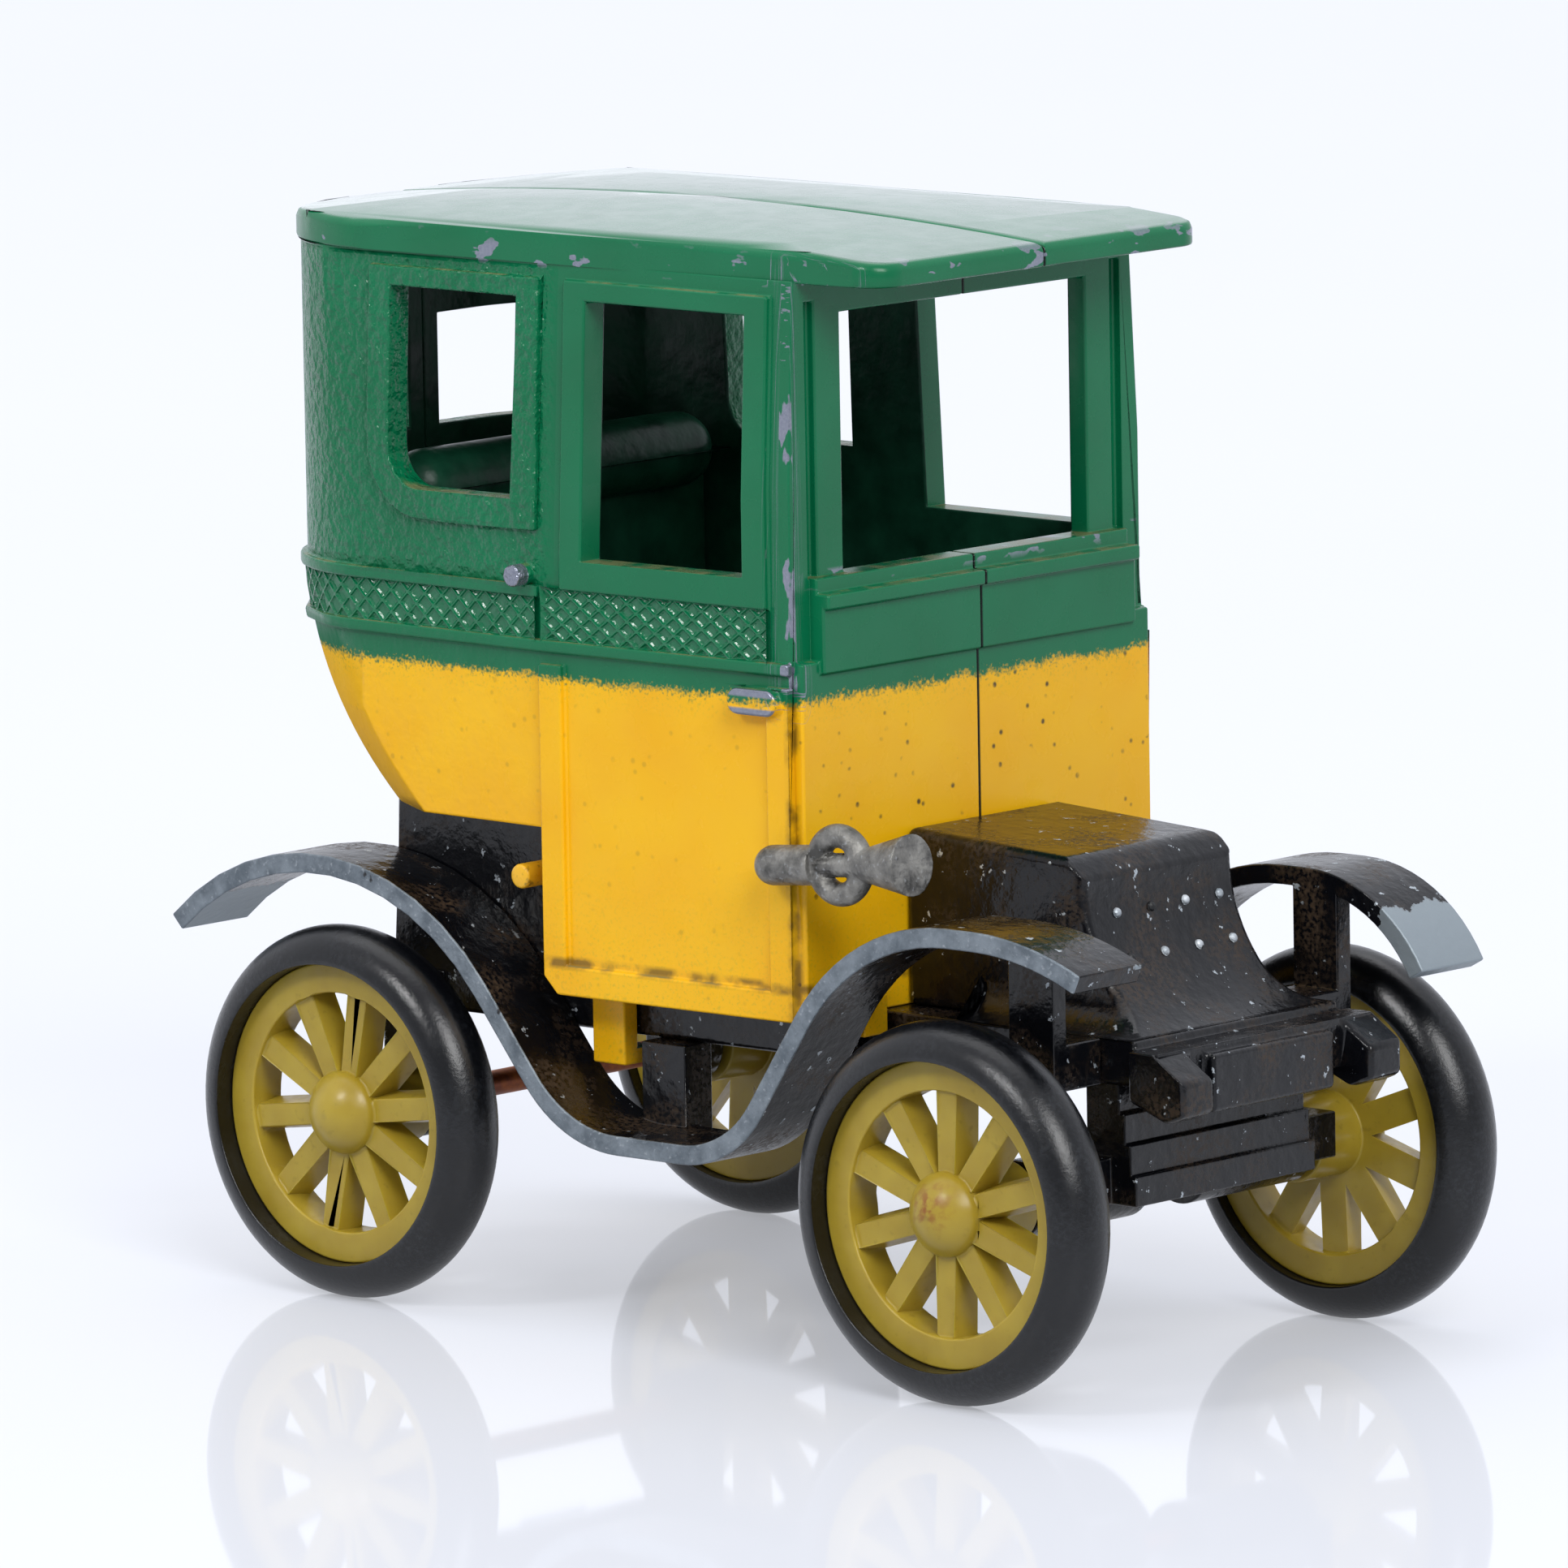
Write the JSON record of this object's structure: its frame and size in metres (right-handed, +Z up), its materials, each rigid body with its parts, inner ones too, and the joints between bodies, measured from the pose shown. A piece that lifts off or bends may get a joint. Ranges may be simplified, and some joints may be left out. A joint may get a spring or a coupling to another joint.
{
  "type": "toy taxi",
  "caption": "die-cast toy taxi of an early motor-car pattern, green and yellow cab, black mudguards, spoked yellow wheels that roll",
  "frame": {"origin": "on the floor under the middle of the outline", "axes": "+X the way it drives, +Y its left side, +Z up"},
  "size_m": [0.0622, 0.0342, 0.0556],
  "materials": {
    "green_enamel": "gloss",
    "yellow_enamel": "gloss",
    "black_enamel": "gloss",
    "bare_zinc": "satin",
    "axle_steel": "satin",
    "yellow_plastic": "gloss",
    "black_rubber": "satin"
  },
  "bodies": {
    "body": {"cab_right": "green_enamel", "cab_left": "green_enamel", "chassis_frame": "black_enamel", "bonnet": "black_enamel", "front_spring": "black_enamel", "mudguard_right": "black_enamel", "mudguard_left": "black_enamel", "bench_seat": "green_enamel", "cross_pin": "yellow_enamel", "bulb_horn": "bare_zinc"},
    "front_wheelset": {"front_axle": "axle_steel", "wheel_front_right": "yellow_plastic", "wheel_front_left": "yellow_plastic", "tyre_front_right": "black_rubber", "tyre_front_left": "black_rubber"},
    "rear_wheelset": {"rear_axle": "axle_steel", "wheel_rear_right": "yellow_plastic", "wheel_rear_left": "yellow_plastic", "tyre_rear_right": "black_rubber", "tyre_rear_left": "black_rubber"}
  },
  "joints": [
    {"name": "front_axle_turn", "type": "hinge", "parent": "body", "child": "front_wheelset", "pos_m": [0.02165, 0, 0.0095], "axis": [0, 1, 0], "continuous": true},
    {"name": "rear_axle_turn", "type": "hinge", "parent": "body", "child": "rear_wheelset", "pos_m": [-0.01845, 0, 0.0095], "axis": [0, 1, 0], "continuous": true}
  ]
}
